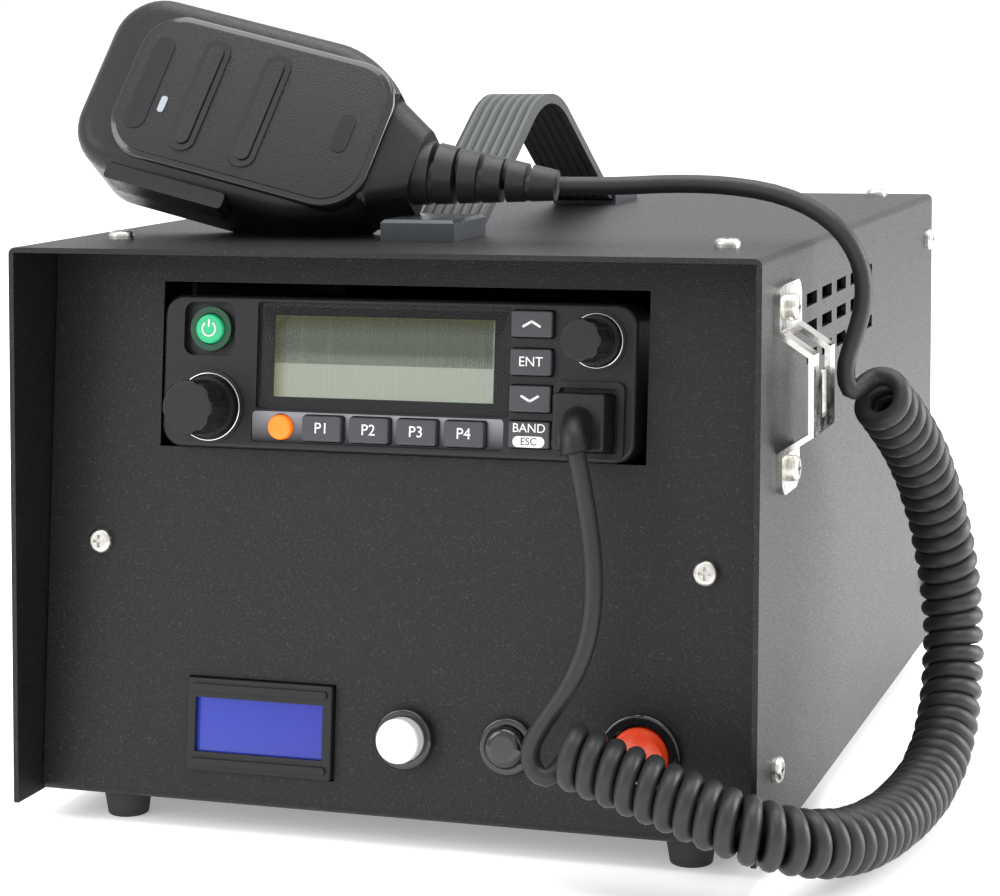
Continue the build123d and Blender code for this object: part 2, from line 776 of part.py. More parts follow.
def make_mic_front():
    shell = Pos(0, 0, mic_split) * extrude(mic_outline(), -8 - mic_split)
    shell += mic_slope_off(-8, -3, 5.0)
    a, b = mic_face["a"], mic_face["b"]
    middle = (sum(a) / 2, sum(b) / 2)
    size = (a[1] - a[0], b[1] - b[0])
    shell += pad(middle, size, -8, -1.0, mic_face["r"])
    shell -= pad(middle, widen(size, -2.2), mic_face["c"], 2, mic_face["r"] - 2.2)
    shell -= mic_hollow(mic_split - 1, -6.0, 8.5)
    shell -= ptt_pocket(key_clear)
    shell -= mic_lamp()
    return mic_plane() * shell


def make_mic_back():
    shoulder = mic_split - 0.8
    shell = Pos(0, 0, shoulder) * extrude(mic_outline(), mic_split - shoulder)
    shell += mic_slope_off(shoulder, mic_back, 13.6)
    shell -= mic_hollow(mic_back + mic_wall, mic_split + 1, 14.0)
    shell -= disc((6, 0), 2.0, mic_back - 1, mic_back + 4)
    return mic_plane() * shell


def make_mic_button():
    """The stud on the handset's back that drops into the hanger's slot."""
    stud = disc((6, 0), 1.95, mic_back - 2, mic_back + 3)
    stud += disc((6, 0), 6.0, mic_back - 4.2, mic_back - 2)
    stud += disc((6, 0), 3.4, mic_back - 2.1, mic_back)
    return mic_plane() * stud


def make_ptt():
    bar = block(ptt_span, (-mic_half - ptt_proud, -mic_half + 3.2 - ptt_travel), ptt_c)
    bar = fillet(bar.edges().filter_by(Axis.Z), 1.3)
    return mic_plane() * bar


def mic_lamp():
    return pad((-9.8, -6.6), (2.0, 5.2), mic_face["c"] - 1.5, mic_face["c"] + 0.4, 0.95)


def make_mic_led():
    return mic_plane() * mic_lamp()


def make_mic_speaker():
    low = -13.5
    speaker = disc((10, -1), 17.5, low, low + 3) + disc((10, -1), 9.5, low - 1.5, low + 1)
    return mic_plane() * (speaker + disc((10, -1), 18.2, low + 3, low + 4.2))


def make_mic_board():
    return mic_plane() * pad((8, -1), (38, 22), mic_split - 4.6, mic_split - 3.0, 2.0)


def relief_direction():
    return Vector(relief_end[0] - mic_neck, relief_end[1] - mic_neck_b, 0).normalized()


def make_strain_relief():
    """A tapered rubber sleeve from the handset's neck to the cord."""
    start = Plane(origin=(mic_neck, mic_neck_b, mic_axis_c), z_dir=(1, 0, 0))
    stop = Plane(origin=(*relief_end, mic_axis_c), z_dir=relief_direction())
    sleeve = loft([start * Circle(relief_r[0]), stop * Circle(relief_r[1])])
    return mic_plane() * sleeve


def cord_tube(name, route, diameter):
    """A tube of straight runs and tangent arcs as large as the runs allow."""
    points = [Vector(*point) for point in route]
    radii = []
    for before, here, after in zip(points, points[1:], points[2:]):
        turn = radians((here - before).get_angle(after - here))
        shorter = min((here - before).length, (after - here).length)
        radii.append(0.45 * shorter / tan(turn / 2))
    path = FilletPolyline(*route, radius=radii)
    tube = sweep(Plane(origin=path @ 0, z_dir=path % 0) * Circle(diameter / 2), path=path)
    section = pi * diameter**2 / 4
    print(name, "radii", [round(r, 1) for r in radii], "length", round(path.length, 1))
    print(name, "volume share", round(tube.volume / (section * path.length), 4))
    return tube


def make_socket():
    x, z = socket_xz
    flange = Pos(x, back_plane_y + 1.0, z) * Box(socket_flange, 2.0, socket_flange)
    barrel = Cylinder(socket_r, socket_length + 2)
    barrel = Pos(x, back_plane_y + 1 + socket_length / 2, z) * Rot(90, 0, 0) * barrel
    neck = Pos(x, back_plane_y - 6, z) * Rot(90, 0, 0) * Cylinder(socket_r - 0.5, 12.2)
    mouth = Pos(x, back_plane_y + socket_length, z) * Rot(90, 0, 0) * Cylinder(5.6, 2 * 9.0)
    pin_hole = Pos(x, back_plane_y + socket_length, z) * Rot(90, 0, 0) * Cylinder(2.1, 2 * 15.0)
    return flange + barrel + neck - mouth - pin_hole


def make_inlet():
    x, z = inlet_xz
    width, height = inlet_size
    flange = Pos(x, back_plane_y + 1.2, z) * Box(width + 5, 2.4, height + 5)
    body = Pos(x, back_plane_y - inlet_reach / 2 + 0.5, z) * Box(width, inlet_reach + 1, height)
    well = Pos(x, back_plane_y + 2.4 - 8, z) * Box(width - 3.6, 16, height - 3.6)
    inlet = flange + body - well
    for dx, dz in ((-7, -2), (0, 2.5), (7, -2)):
        inlet += Pos(x + dx, back_plane_y - 9.0, z + dz) * Box(1.8, 12, 4)
    return inlet


def make_supply():
    width, depth, height = supply_size
    low = foot_height + sheet
    body = block((-width / 2, width / 2), (supply_y - depth / 2, supply_y + depth / 2), (low, low + height))
    body = chamfer(body.edges().group_by(Axis.Z)[-1], 1.5)
    for number in range(9):
        y = supply_y - depth / 2 + 20 + number * 14
        body -= block((-width / 2 + 14, width / 2 - 14), (y, y + 5), (low + height - 3, low + height + 1))
    return body


def make_nodes():
    nodes = {
        "cover": make_cover(),
        "chassis": make_chassis(),
        "case_screws": make_case_screws(),
        "foot_screws": make_foot_screws(),
        "mic_hanger": make_hanger(),
        "hanger_screws": make_hanger_screws(),
        "handle_strap": make_strap(),
        "handle_cap_front": make_cap(-1),
        "handle_cap_rear": make_cap(1),
        "handle_screws": make_handle_screws(),
        "radio_face": make_radio_face(),
        "radio_body": make_radio_body(),
        "radio_cradle": make_cradle(),
        "radio_window": make_window(),
        "radio_lcd": make_lcd(),
        "key_strip": make_key_strip(),
        "key_lamp": make_lamp_button(),
        "power_ring": make_power_ring(),
        "power_button": make_power_button(),
        "encoders": make_encoders(),
        "mic_jack": make_jack(),
        "mic_plug": make_plug(),
        "meter_bezel": make_meter_bezel(),
        "meter_glass": make_meter_glass(),
        "meter_body": make_meter_body(),
        "white_housing": make_button_housing(white_u, white),
        "white_button": make_button_cap(white_u, white, 1.2),
        "black_housing": make_button_housing(black_u, black),
        "black_button": make_button_cap(black_u, black, 2.4),
        "button_nuts": make_button_nuts(),
        "rocker_housing": make_rocker_body(),
        "rocker": make_rocker(),
        "mic_front": make_mic_front(),
        "mic_rear": make_mic_back(),
        "mic_stud": make_mic_button(),
        "mic_ptt": make_ptt(),
        "mic_led": make_mic_led(),
        "mic_speaker": make_mic_speaker(),
        "mic_board": make_mic_board(),
        "mic_relief": make_strain_relief(),
        "cord_front": cord_tube("cord_front", FRONT_ROUTE, cord_d),
        "cord_coil": cord_tube("cord_coil", COIL_ROUTE, coil_d),
        "cord_rear": cord_tube("cord_rear", MIC_ROUTE, cord_d),
        "antenna_socket": make_socket(),
        "power_inlet": make_inlet(),
        "power_supply": make_supply(),
    }
    for name, (centre, size) in key_places().items():
        nodes[name] = make_key(centre, size)
    for name, knob in knobs.items():
        nodes[name] = make_knob(knob)
    for name, x, y in (("fl", -1, -1), ("fr", 1, -1), ("rl", -1, 1), ("rr", 1, 1)):
        nodes[f"foot_{name}"] = make_foot(x * foot_x, y * foot_y)
    return nodes


os.makedirs("parts", exist_ok=True)
for node_name, shape in make_nodes().items():
    export_step(shape, f"parts/{node_name}.step")
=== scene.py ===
from math import atan2, cos, pi, radians, sin

import bmesh
import bpy
from mathutils import Matrix, Vector


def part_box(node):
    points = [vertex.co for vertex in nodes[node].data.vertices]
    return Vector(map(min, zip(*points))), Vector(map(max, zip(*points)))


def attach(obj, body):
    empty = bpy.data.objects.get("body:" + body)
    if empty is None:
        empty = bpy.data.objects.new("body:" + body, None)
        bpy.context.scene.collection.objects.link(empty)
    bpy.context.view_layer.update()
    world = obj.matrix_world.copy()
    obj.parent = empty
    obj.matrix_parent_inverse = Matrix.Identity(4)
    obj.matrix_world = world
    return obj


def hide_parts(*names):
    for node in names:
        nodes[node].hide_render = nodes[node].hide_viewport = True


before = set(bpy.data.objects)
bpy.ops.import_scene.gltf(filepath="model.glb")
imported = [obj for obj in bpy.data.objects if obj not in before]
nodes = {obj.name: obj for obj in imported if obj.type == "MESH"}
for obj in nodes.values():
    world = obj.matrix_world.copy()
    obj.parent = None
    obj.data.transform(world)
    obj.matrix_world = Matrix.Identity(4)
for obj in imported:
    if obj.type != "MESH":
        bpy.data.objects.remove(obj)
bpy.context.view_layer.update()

# The camera stands to the right of the front, a little above the case, and looks slightly down.
yaw, pitch, roll = radians(18.37), radians(6.84), radians(-0.69)
ahead = Vector((-sin(yaw) * cos(pitch), cos(yaw) * cos(pitch), -sin(pitch)))
level = Vector((cos(yaw), sin(yaw), 0))
upright = level.cross(ahead)
right = cos(roll) * level + sin(roll) * upright
above = -sin(roll) * level + cos(roll) * upright
camera_place = (0.2541, -0.7892, 0.2229)
camera_data = bpy.data.cameras.new("camera")
camera_data.lens = 94.8
camera_data.shift_y = -0.098
camera_data.clip_end = 50
camera = bpy.data.objects.new("camera", camera_data)
turn = Matrix((right, above, -ahead)).transposed().to_4x4()
camera.matrix_world = Matrix.Translation(camera_place) @ turn
bpy.context.scene.collection.objects.link(camera)
bpy.context.scene.camera = camera


class Number:
    """A number that varies over a surface, which can be added to and multiplied."""

    def __init__(self, finish, socket):
        self.finish = finish
        self.socket = socket

    def maths(self, operation, first, second):
        return self.finish.add("ShaderNodeMath", {"operation": operation}, {0: first, 1: second})

    def __add__(self, other):
        return self.maths("ADD", self, other)

    def __mul__(self, other):
        return self.maths("MULTIPLY", self, other)


class Finish:
    """A material: a shader with fixed values, and the nodes that vary its surface."""

    def __init__(self, name, colour, roughness, metallic=0.0, **fixed):
        self.material = bpy.data.materials.new(name)
        self.material.use_nodes = True
        self.tree = self.material.node_tree
        self.shader = self.tree.nodes["Principled BSDF"]
        self.shader.inputs["Base Color"].default_value = (*colour, 1)
        self.shader.inputs["Roughness"].default_value = roughness
        self.shader.inputs["Metallic"].default_value = metallic
        for words, value in fixed.items():
            socket = words.replace("_", " ").title().replace("Ior", "IOR")
            self.shader.inputs[socket].default_value = value

    def add(self, kind, settings=None, inputs=None, output=0):
        node = self.tree.nodes.new(kind)
        for key, value in (settings or {}).items():
            setattr(node, key, value)
        for key, value in (inputs or {}).items():
            if isinstance(value, Number):
                self.tree.links.new(value.socket, node.inputs[key])
            else:
                node.inputs[key].default_value = value
        return Number(self, node.outputs[output])

    def place(self):
        return self.add("ShaderNodeTexCoord", output=3)

    def axes(self):
        parts = self.add("ShaderNodeSeparateXYZ", inputs={0: self.place()})
        return [Number(self, parts.socket.node.outputs[i]) for i in range(3)]

    def noise(self, scale, detail=3.0):
        inputs = {"Vector": self.place(), "Scale": scale, "Detail": detail}
        return self.add("ShaderNodeTexNoise", inputs=inputs)

    def between(self, mask, low, high):
        inputs = {0: mask, 6: (*low, 1), 7: (*high, 1)}
        return self.add("ShaderNodeMix", {"data_type": "RGBA"}, inputs, 2)

    def spread(self, value, low, high, new_low=0.0, new_high=1.0):
        inputs = {0: value, 1: low, 2: high, 3: new_low, 4: new_high}
        return self.add("ShaderNodeMapRange", inputs=inputs)

    def feed(self, word, value):
        self.tree.links.new(value.socket, self.shader.inputs[word])

    def relief(self, height, depth):
        """Raised and sunk detail, depth in metres."""
        bump = self.add("ShaderNodeBump", inputs={"Height": height, "Distance": depth, "Strength": 1.0})
        self.feed("Normal", bump)

    def dress(self, *names):
        for name in names:
            piece = nodes[name] if isinstance(name, str) else name
            piece.data.materials.clear()
            piece.data.materials.append(self.material)


def new_piece(name, shape, finish, body):
    """A finished bmesh as a smooth-shaded object that rides on a body."""
    bmesh.ops.remove_doubles(shape, verts=shape.verts, dist=1e-7)
    bmesh.ops.recalc_face_normals(shape, faces=shape.faces)
    mesh = bpy.data.meshes.new(name)
    shape.to_mesh(mesh)
    shape.free()
    piece = bpy.data.objects.new(name, mesh)
    bpy.context.scene.collection.objects.link(piece)
    finish.dress(piece)
    for face in mesh.polygons:
        face.use_smooth = True
    mesh.set_sharp_from_angle(angle=radians(35))
    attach(piece, body)
    return piece


# Studio: a pale floor that gives off a little light, even pale light from all round, a broad soft
# light overhead and one from each side.
world = bpy.data.worlds.new("studio")
bpy.context.scene.world = world
bpy.context.scene.view_settings.view_transform = "Standard"
world.use_nodes = True
background = world.node_tree.nodes["Background"]
background.inputs["Color"].default_value = (0.97, 0.98, 1.0, 1)
background.inputs["Strength"].default_value = 1.1
floor_shape = bmesh.new()
bmesh.ops.create_grid(floor_shape, x_segments=1, y_segments=1, size=12)
floor_mesh = bpy.data.meshes.new("floor")
floor_shape.to_mesh(floor_mesh)
floor_shape.free()
floor = bpy.data.objects.new("floor", floor_mesh)
bpy.context.scene.collection.objects.link(floor)
pale = Finish("pale_floor", (0.95, 0.95, 0.95), 0.6, emission_strength=0.3)
pale.feed("Roughness", pale.spread(pale.noise(3.0), 0, 1, 0.55, 0.65))
pale.dress(floor)


def soft_light(name, place, aim, width, height, power):
    data = bpy.data.lights.new(name, "AREA")
    data.shape = "RECTANGLE"
    data.size = width
    data.size_y = height
    data.energy = power
    light = bpy.data.objects.new(name, data)
    light.location = place
    light.rotation_euler = (Vector(aim) - Vector(place)).to_track_quat("-Z", "Y").to_euler()
    bpy.context.scene.collection.objects.link(light)


soft_light("overhead", (0.1, 0.0, 1.5), (0, 0, 0.1), 1.5, 1.3, 22)
soft_light("left_front", (-1.1, -1.2, 0.9), (0, 0, 0.12), 0.8, 1.0, 9)
soft_light("right_side", (1.5, 0.6, 0.6), (0.1, 0, 0.1), 1.0, 1.2, 30)


# Cord: a dark grey rubber cable. It runs down from the plug to the curled stretch, which goes past
# the case's corner and up its side, then over the case to the handset.
MM = 0.001
cord_wide = 5.2 * MM
coil_wide = 18.0 * MM
turns = 56
steps = 14  # points in each turn
joined = 3  # points left out at each end of the curl, so that the straight ends meet it smoothly
FRONT_ROUTE = [
    (0.0582, -0.1370, 0.1138),
    (0.0617, -0.1390, 0.0996),
    (0.0646, -0.1424, 0.0825),
    (0.0644, -0.1464, 0.0675),
    (0.0600, -0.1496, 0.0550),
    (0.0534, -0.1512, 0.0456),
    (0.0492, -0.1519, 0.0386),
    (0.0498, -0.1523, 0.0324),
    (0.0547, -0.1529, 0.0296),
]
COIL_ROUTE = [
    (0.0585, -0.1536, 0.0382),
    (0.0700, -0.1544, 0.0346),
    (0.0830, -0.1552, 0.0304),
    (0.0960, -0.1558, 0.0260),
    (0.1095, -0.1562, 0.0218),
    (0.1220, -0.1490, 0.0174),
    (0.1300, -0.1325, 0.0138),
    (0.1344, -0.1110, 0.0116),
    (0.1376, -0.0880, 0.0112),
    (0.1400, -0.0650, 0.0130),
    (0.1416, -0.0460, 0.0210),
    (0.1416, -0.0335, 0.0370),
    (0.1404, -0.0280, 0.0560),
    (0.1376, -0.0320, 0.0780),
    (0.1342, -0.0435, 0.0980),
    (0.1304, -0.0585, 0.1125),
    (0.1260, -0.0740, 0.1232),
]
MIC_ROUTE = [
    (0.1188, -0.0759, 0.1226),
    (0.1169, -0.0755, 0.1300),
    (0.1196, -0.0715, 0.1395),
    (0.1218, -0.0690, 0.1500),
    (0.1198, -0.0683, 0.1610),
    (0.1120, -0.0680, 0.1710),
    (0.0985, -0.0655, 0.1774),
    (0.0815, -0.0642, 0.1800),
    (0.0650, -0.0665, 0.1804),
    (0.0498, -0.0699, 0.1796),
    (0.0347, -0.0720, 0.1798),
]


def spline_piece(name, route, resolution):
    data = bpy.data.curves.new(name, "CURVE")
    data.dimensions = "3D"
    data.resolution_u = resolution
    line = data.splines.new("NURBS")
    line.points.add(len(route) - 1)
    for point, spot in zip(line.points, route):
        point.co = (*spot, 1)
    line.order_u = 3
    line.use_endpoint_u = True
    piece = bpy.data.objects.new(name, data)
    bpy.context.scene.collection.objects.link(piece)
    return piece


def centre_line(route):
    """Points along the smooth line through a route."""
    guide = spline_piece("guide", route, 40)
    mesh = bpy.data.meshes.new_from_object(guide)
    line = [vertex.co.copy() for vertex in mesh.vertices]
    data = guide.data
    bpy.data.objects.remove(guide)
    bpy.data.curves.remove(data)
    bpy.data.meshes.remove(mesh)
    return line


def at_length(line, reached, wanted):
    """The point and direction at a length along a line."""
    step = max(i for i, length in enumerate(reached[:-1]) if length <= wanted + 1e-9)
    share = (wanted - reached[step]) / (reached[step + 1] - reached[step])
    ahead_now = (line[step + 1] - line[step]).normalized()
    return line[step].lerp(line[step + 1], share), ahead_now


def curl(route, first, last):
    """The helix round a route, which starts towards one point and ends towards another."""
    line = centre_line(route)
    reached = [0.0]
    for before, after in zip(line, line[1:]):
        reached.append(reached[-1] + (after - before).length)
    mean = (coil_wide - cord_wide) / 2 / ((3 + cos(2 * pi / steps)) / 4)
    frames = []
    outward = first - line[0]
    for index in range(turns * steps + 1):
        spot, along = at_length(line, reached, reached[-1] * index / (turns * steps))
        outward = (outward - along * outward.dot(along)).normalized()
        frames.append((spot, along, outward.copy()))
    spot, along, outward = frames[-1]
    leave = last - spot
    leave -= along * leave.dot(along)
    extra = atan2(leave.dot(along.cross(outward)), leave.dot(outward))
    points = []
    for index, (spot, along, outward) in enumerate(frames):
        share = index / (turns * steps)
        angle = share * (2 * pi * (turns - 1) + extra % (2 * pi))
        swell = 1 + 0.02 * sin(angle * 0.31) + 0.015 * sin(angle * 0.123 + 1)
        around = outward * cos(angle) + along.cross(outward) * sin(angle)
        points.append(spot + around * mean * min(1.0, swell))
    return points


first_end = Vector(FRONT_ROUTE[-1])
last_end = Vector(MIC_ROUTE[0])
curled = [tuple(point) for point in curl(COIL_ROUTE, first_end, last_end)]
cord_route = FRONT_ROUTE + curled[joined:-joined] + MIC_ROUTE
cord = spline_piece("mic_cord", cord_route, 3)
cord.data.bevel_depth = cord_wide / 2
cord.data.bevel_resolution = 4
rubber = Finish("cord_rubber", (0.017, 0.018, 0.019), 0.42, specular_ior_level=0.35)
rubber.feed("Roughness", rubber.spread(rubber.noise(420), 0.3, 0.7, 0.36, 0.5))
rubber.relief(rubber.noise(1500), 0.00006)
rubber.dress(cord)
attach(cord, "case")
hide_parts("cord_front", "cord_coil", "cord_rear")


# Case: the cover, chassis and cradle are folded steel with a fine black powder coat, whose speckle
# shows as small bright points. The screws and nuts are zinc plated, the power supply is galvanised
# and the feet are rubber.
coat = Finish("powder_coat", (0.008, 0.008, 0.009), 0.42, specular_ior_level=0.32)
fleck = coat.spread(coat.noise(1900, 1), 0.6, 0.72)
coat.feed("Base Color", coat.between(fleck, (0.006, 0.006, 0.0065), (0.03, 0.03, 0.031)))
coat.feed("Roughness", coat.spread(coat.noise(1900, 1), 0.35, 0.65, 0.5, 0.38))
coat.relief(coat.noise(2400, 2), 0.00012)
coat.dress("cover", "chassis", "radio_cradle")
zinc = Finish("zinc_plate", (0.62, 0.6, 0.56), 0.3, 1.0)
zinc.feed("Base Color", zinc.between(zinc.noise(300), (0.5, 0.48, 0.44), (0.72, 0.7, 0.66)))
zinc.feed("Roughness", zinc.spread(zinc.noise(900), 0.3, 0.7, 0.22, 0.42))
zinc.dress("case_screws", "foot_screws", "hanger_screws", "handle_screws", "button_nuts")
sheet_zinc = Finish("galvanised_sheet", (0.5, 0.51, 0.52), 0.42, 1.0)
sheet_zinc.feed("Roughness", sheet_zinc.spread(sheet_zinc.noise(90, 6), 0.3, 0.7, 0.3, 0.55))
sheet_zinc.dress("power_supply")
sole = Finish("foot_rubber", (0.02, 0.02, 0.02), 0.75)
sole.relief(sole.noise(1100), 0.0001)
sole.dress("foot_fl", "foot_fr", "foot_rl", "foot_rr")


# Hanger: a bright nickel-plated steel strip that the handset's stud drops into. The stud, the
# antenna socket and the knobs' bushes are plated in the same way.
nickel = Finish("bright_nickel", (0.58, 0.56, 0.53), 0.14, 1.0)
nickel.feed("Roughness", nickel.spread(nickel.noise(240, 5), 0.3, 0.7, 0.1, 0.26))
nickel.relief(nickel.noise(500), 0.00003)
nickel.dress("mic_hanger", "mic_stud", "antenna_socket", "encoders")


# Handle: a rubber strap with seven ribs along it, and bevelled plastic caps on its ends.
strap = Finish("strap_rubber", (0.06, 0.066, 0.064), 0.5)
strap_wide = 19.6 * MM
rib_pitch = strap_wide / 7
phase = strap.axes()[0] * (2 * pi / rib_pitch)
ribs = strap.add("ShaderNodeMath", {"operation": "COSINE"}, {0: phase})
strap.relief(strap.spread(ribs, -1, 0.4) + strap.noise(900) * 0.08, 0.0007)
# Painted shade: the strap's colour is darker in the grooves between the ribs and lighter on the rib tops.
rib_groove_painted_shade = strap.spread(ribs, -1, 0.2)
strap.feed("Base Color", strap.between(rib_groove_painted_shade, (0.02, 0.022, 0.022), (0.07, 0.077, 0.074)))
strap.dress("handle_strap")
cap_plastic = Finish("cap_plastic", (0.03, 0.034, 0.04), 0.26)
cap_plastic.feed("Roughness", cap_plastic.spread(cap_plastic.noise(900), 0.3, 0.7, 0.22, 0.3))
cap_plastic.relief(cap_plastic.noise(2600), 0.00003)
cap_plastic.dress("handle_cap_front", "handle_cap_rear")


# Radio: a satin black moulded face on a ribbed casting, with its keys, knobs, display and window.
# The same satin plastic makes the plug, the meter's bezel, the talk bar and the power inlet.
satin = Finish("satin_plastic", (0.008, 0.008, 0.009), 0.36, specular_ior_level=0.35)
satin.feed("Roughness", satin.spread(satin.noise(500), 0.3, 0.7, 0.3, 0.44))
satin.relief(satin.noise(2600), 0.00008)
satin.dress("radio_face", "knob_volume", "knob_channel", "mic_plug", "mic_jack", "meter_bezel", "meter_body")
satin.dress("mic_ptt", "mic_speaker", "power_inlet")
cast = Finish("cast_body", (0.1, 0.1, 0.105), 0.5, 0.7)
cast.relief(cast.noise(800), 0.0002)
cast.dress("radio_body")
key_plastic = Finish("key_plastic", (0.04, 0.042, 0.046), 0.45)
key_plastic.feed("Roughness", key_plastic.spread(key_plastic.noise(700), 0.3, 0.7, 0.4, 0.52))
key_plastic.relief(key_plastic.noise(2400), 0.00006)
side_keys = ("key_up", "key_enter", "key_down", "key_band")
p_keys = ("key_p1", "key_p2", "key_p3", "key_p4")
key_plastic.dress(*side_keys, *p_keys)
display_low, display_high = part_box("radio_lcd")
display = Finish("display", (0.3, 0.32, 0.26), 0.35)
x, y, z = display.axes()
# Painted shade: the display's colour darkens to olive along its top and left edges, under the window's
# frame.
display_top_painted_shade = display.spread(z, display_high[2] - 0.005, display_high[2])
display_left_painted_shade = display.spread(x, display_low[0] + 0.004, display_low[0])
display.feed("Base Color", display.between(display_top_painted_shade + display_left_painted_shade, (0.36, 0.4, 0.32), (0.17, 0.18, 0.07)))
display.dress("radio_lcd")
pane = Finish("window_pane", (0.01, 0.01, 0.01), 0.05, alpha=0.12)
pane.feed("Roughness", pane.spread(pane.noise(50), 0, 1, 0.04, 0.08))
pane.dress("radio_window")
silver = Finish("silver_trim", (0.45, 0.45, 0.47), 0.3, 0.9)
strip_low, strip_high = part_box("key_strip")
# Painted light: the strip's colour runs from near black at its bottom edge to bright silver at its top, a
# painted highlight above and painted shade below.
strip_painted_light = silver.spread(silver.axes()[2], strip_low[2], strip_high[2])
silver.feed("Base Color", silver.between(strip_painted_light, (0.015, 0.015, 0.018), (0.3, 0.3, 0.32)))
silver.dress("key_strip")
amber = Finish("amber_lamp", (0.95, 0.2, 0.01), 0.3, emission_strength=0.5)
amber.feed("Emission Color", amber.between(amber.noise(260), (0.95, 0.1, 0.005), (1.0, 0.24, 0.02)))
amber.dress("key_lamp")
mint = Finish("mint_button", (0.02, 0.5, 0.2), 0.35)
mint.feed("Base Color", mint.between(mint.noise(300), (0.015, 0.42, 0.17), (0.04, 0.6, 0.27)))
mint.dress("power_button")
dark_green = Finish("power_surround", (0.004, 0.06, 0.025), 0.3)
dark_green.feed("Roughness", dark_green.spread(dark_green.noise(600), 0, 1, 0.25, 0.35))
dark_green.dress("power_ring")

panel_lean = radians(7.29)
panel_foot = (0, -0.12925, 0.008)
panel = Matrix.Translation(panel_foot) @ Matrix(
    (
        (1, 0, 0, 0),
        (0, sin(panel_lean), -cos(panel_lean), 0),
        (0, cos(panel_lean), sin(panel_lean), 0),
        (0, 0, 0, 1),
    )
)
white_ink = Finish("white_ink", (0.8, 0.8, 0.78), 0.55)
white_ink.feed("Roughness", white_ink.spread(white_ink.noise(900), 0, 1, 0.5, 0.6))
dark_ink = Finish("dark_ink", (0.02, 0.02, 0.02), 0.55)
dark_ink.feed("Roughness", dark_ink.spread(dark_ink.noise(900), 0, 1, 0.5, 0.6))


def on_panel(u, v, w):
    return panel @ Matrix.Translation((u * MM, v * MM, w * MM))


def printed(name, words, height, u, v, w, body, ink=white_ink):
    """A word printed on a surface that faces out of the panel."""
    data = bpy.data.curves.new(name, "FONT")
    data.body = words
    data.size = height * MM / 0.7
    data.align_x = "CENTER"
    data.align_y = "CENTER"
    data.extrude = 0.00003
    data.resolution_u = 4
    letter = bpy.data.objects.new(name, data)
    mesh = bpy.data.meshes.new_from_object(letter)
    bpy.data.objects.remove(letter)
    bpy.data.curves.remove(data)
    mesh.transform(on_panel(u, v, w))
    piece = bpy.data.objects.new(name, mesh)
    bpy.context.scene.collection.objects.link(piece)
    ink.dress(piece)
    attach(piece, body)


def stadium(shape, length, radius, low, high, place):
    """A plate with round ends, as long as given along its first axis, cut at two heights."""
    made = bmesh.ops.create_circle(shape, cap_ends=True, segments=40, radius=radius)["verts"]
    half = length / 2 - radius
    for side in (-1, 1):
        end = [vertex for vertex in made if vertex.co.x * side > 1e-9]
        bmesh.ops.translate(shape, verts=end, vec=(half * side, 0, 0))
    bmesh.ops.translate(shape, verts=made, vec=(0, 0, low))
    face = made[0].link_faces[0]
    grown = bmesh.ops.extrude_face_region(shape, geom=[face])["geom"]
    top = [item for item in grown if isinstance(item, bmesh.types.BMVert)]
    bmesh.ops.translate(shape, verts=top, vec=(0, 0, high - low))
    bmesh.ops.transform(shape, matrix=place, verts=list(set(made + top)))


key_top = 6.0
side_key_u = 40.2
p_key_v = 107.3
for number, (name, u) in enumerate(zip(p_keys, (-20.0, -6.1, 7.8, 21.6)), 1):
    printed(f"label_p{number}", f"P{number}", 3.0, u, p_key_v, key_top, f"{name}_cap")
printed("label_enter", "ENT", 2.6, side_key_u, 127.4, key_top, "key_enter_cap")
printed("label_band", "BAND", 2.4, side_key_u, 109.5, key_top, "key_band_cap")
pill = bmesh.new()
stadium(pill, 9.0 * MM, 1.5 * MM, 0, 0.05 * MM, on_panel(side_key_u, 105.9, key_top))
new_piece("label_pill", pill, white_ink, "key_band_cap")
printed("label_escape", "ESC", 2.0, side_key_u, 105.9, key_top + 0.07, "key_band_cap", dark_ink)
for name, v, flip in (("key_up", 137.7, 1), ("key_down", 117.5, -1)):
    arrow = bmesh.new()
    for side in (-1, 1):
        arm = Matrix.Rotation(radians(-30 * side * flip), 4, "Z")
        place = on_panel(side_key_u + side * 1.15, v, key_top) @ arm
        stadium(arrow, 3.3 * MM, 0.32 * MM, 0, 0.05 * MM, place)
    new_piece(f"arrow_{name}", arrow, white_ink, f"{name}_cap")


def hoop(shape, radius, thick, start, sweep, place):
    """A round bar bent to part of a circle about its third axis, with closed ends."""
    made = bmesh.ops.create_circle(shape, cap_ends=sweep < 2 * pi, segments=12, radius=thick)["verts"]
    stand = Matrix.Translation((radius, 0, 0)) @ Matrix.Rotation(pi / 2, 4, "X")
    lay = Matrix.Rotation(start, 4, "Z") @ stand
    bmesh.ops.transform(shape, matrix=lay, verts=made)
    section = list({edge for vertex in made for edge in vertex.link_edges}) + made
    section += list({face for vertex in made for face in vertex.link_faces})
    whole = abs(sweep - 2 * pi) < 1e-6
    steps_round = max(8, int(48 * sweep / (2 * pi)))
    bmesh.ops.spin(
        shape, geom=section, cent=(0, 0, 0), axis=(0, 0, 1), angle=sweep, steps=steps_round, use_merge=whole
    )
    bmesh.ops.transform(shape, matrix=place, verts=[v for v in shape.verts if not v.tag])
    for vertex in shape.verts:
        vertex.tag = True


